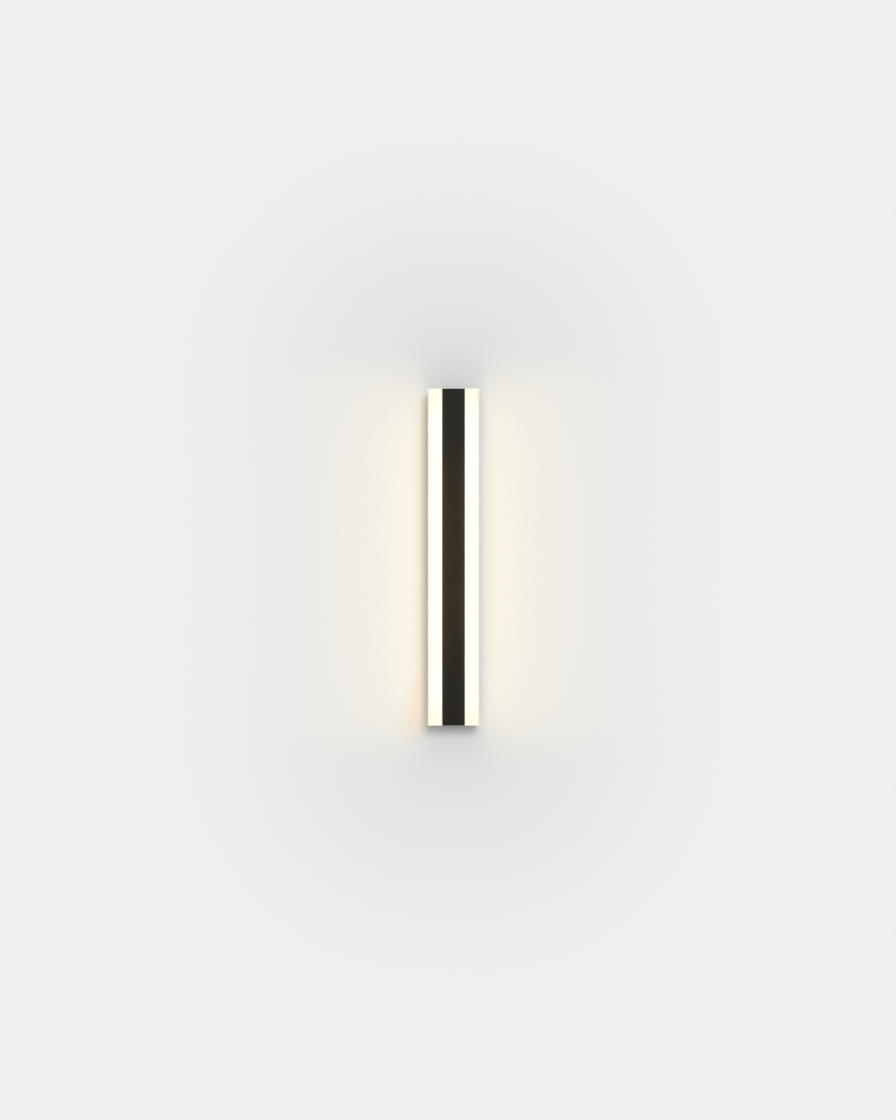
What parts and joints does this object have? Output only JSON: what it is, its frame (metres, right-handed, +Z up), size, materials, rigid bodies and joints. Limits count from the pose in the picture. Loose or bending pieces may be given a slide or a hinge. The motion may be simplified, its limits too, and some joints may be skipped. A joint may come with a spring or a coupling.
{
  "type": "wall light",
  "caption": "Slim upright LED wall light: two lit opal side diffusers on a black metal spine, carried by a folded tray that hangs on a slotted wall bracket.",
  "frame": {"origin": "on the wall plane, at the middle of the wall bracket's back face, at the lamp's mid-height", "axes": "+X to the right seen from the room, +Y into the wall, +Z up along the lamp; the lamp's front faces -Y"},
  "size_m": [0.061, 0.066, 0.4],
  "materials": {
    "opal": "opal, satin, lit from inside",
    "bar_black": "black anodised, satin",
    "tray_black": "black powder coat, matte",
    "cap_black": "moulded black, matte",
    "gasket_black": "cut sheet, matte",
    "bush_black": "moulded, matte",
    "screw_black": "black oxide, satin",
    "zinc": "bright zinc plate",
    "board_white": "white solder mask, satin",
    "chip": "phosphor filled silicone",
    "tape_grey": "thermal tape, matte",
    "film_white": "diffuse reflector film",
    "plug_natural": "moulded nylon",
    "lead_white": "PVC sheath",
    "driver_white": "moulded, fine texture",
    "cover_grey": "moulded, fine texture",
    "block_natural": "moulded nylon",
    "brass": "pressed, bright",
    "core_brown": "PVC insulation",
    "core_blue": "PVC insulation",
    "core_green_yellow": "PVC insulation, striped",
    "tinned": "tin plate, satin"
  },
  "bodies": {
    "bracket_body": {"wall_bracket": "zinc", "cable_grommet": "bush_black"},
    "lamp_body": {"back_tray": "tray_black", "clamp_plate_bottom": "zinc", "clamp_plate_top": "zinc", "diffuser_left": "opal", "diffuser_right": "opal", "driver_case": "driver_white", "driver_input_cover": "cover_grey", "driver_output_cover": "cover_grey", "driver_screws": "zinc", "earth_lug": "tinned", "earth_screw": "brass", "end_cap_bottom": "cap_black", "end_cap_screws_bottom": "screw_black", "end_cap_screws_top": "screw_black", "end_cap_top": "cap_black", "end_gasket_bottom": "gasket_black", "end_gasket_top": "gasket_black", "lead_bush_left": "bush_black", "lead_bush_right": "bush_black", "lead_earth": "core_green_yellow", "lead_live": "core_brown", "lead_neutral": "core_blue", "led_board_left": "board_white", "led_board_right": "board_white", "led_chips_left": "chip", "led_chips_right": "chip", "led_lead_left": "lead_white", "led_lead_right": "lead_white", "led_plug_left": "plug_natural", "led_plug_right": "plug_natural", "reflector_left": "film_white", "reflector_right": "film_white", "spine": "bar_black", "terminal_block": "block_natural", "terminal_cages": "brass", "terminal_fixing_screws": "zinc", "terminal_screws": "zinc", "thermal_tape_left": "tape_grey", "thermal_tape_right": "tape_grey", "tray_screws": "zinc", "web_grommet": "bush_black"},
    "washer_body_top": {"lock_washer_top": "zinc"},
    "screw_body_top": {"lock_screw_top": "screw_black"},
    "washer_body_bottom": {"lock_washer_bottom": "zinc"},
    "screw_body_bottom": {"lock_screw_bottom": "screw_black"}
  },
  "joints": [
    {"name": "lamp_lift_off", "type": "slide", "parent": "bracket_body", "child": "lamp_body", "axis": [0, -1, 0], "range_m": [0, 0.04]},
    {"name": "lock_screw_travel_top", "type": "slide", "parent": "lamp_body", "child": "washer_body_top", "axis": [0, 0, 1], "range_m": [0, 0.0014]},
    {"name": "lock_screw_turn_top", "type": "hinge", "parent": "washer_body_top", "child": "screw_body_top", "pos_m": [0, -0.008, 0.192], "axis": [0, 0, 1], "range_deg": [0, 721]},
    {"name": "lock_screw_travel_bottom", "type": "slide", "parent": "lamp_body", "child": "washer_body_bottom", "axis": [0, 0, -1], "range_m": [0, 0.0014]},
    {"name": "lock_screw_turn_bottom", "type": "hinge", "parent": "washer_body_bottom", "child": "screw_body_bottom", "pos_m": [0, -0.008, -0.192], "axis": [0, 0, -1], "range_deg": [0, 721]}
  ],
  "couplings": [
    {"joint": "lock_screw_turn_top", "follows": "lock_screw_travel_top", "rad_per_m": 8976},
    {"joint": "lock_screw_turn_bottom", "follows": "lock_screw_travel_bottom", "rad_per_m": 8976}
  ]
}
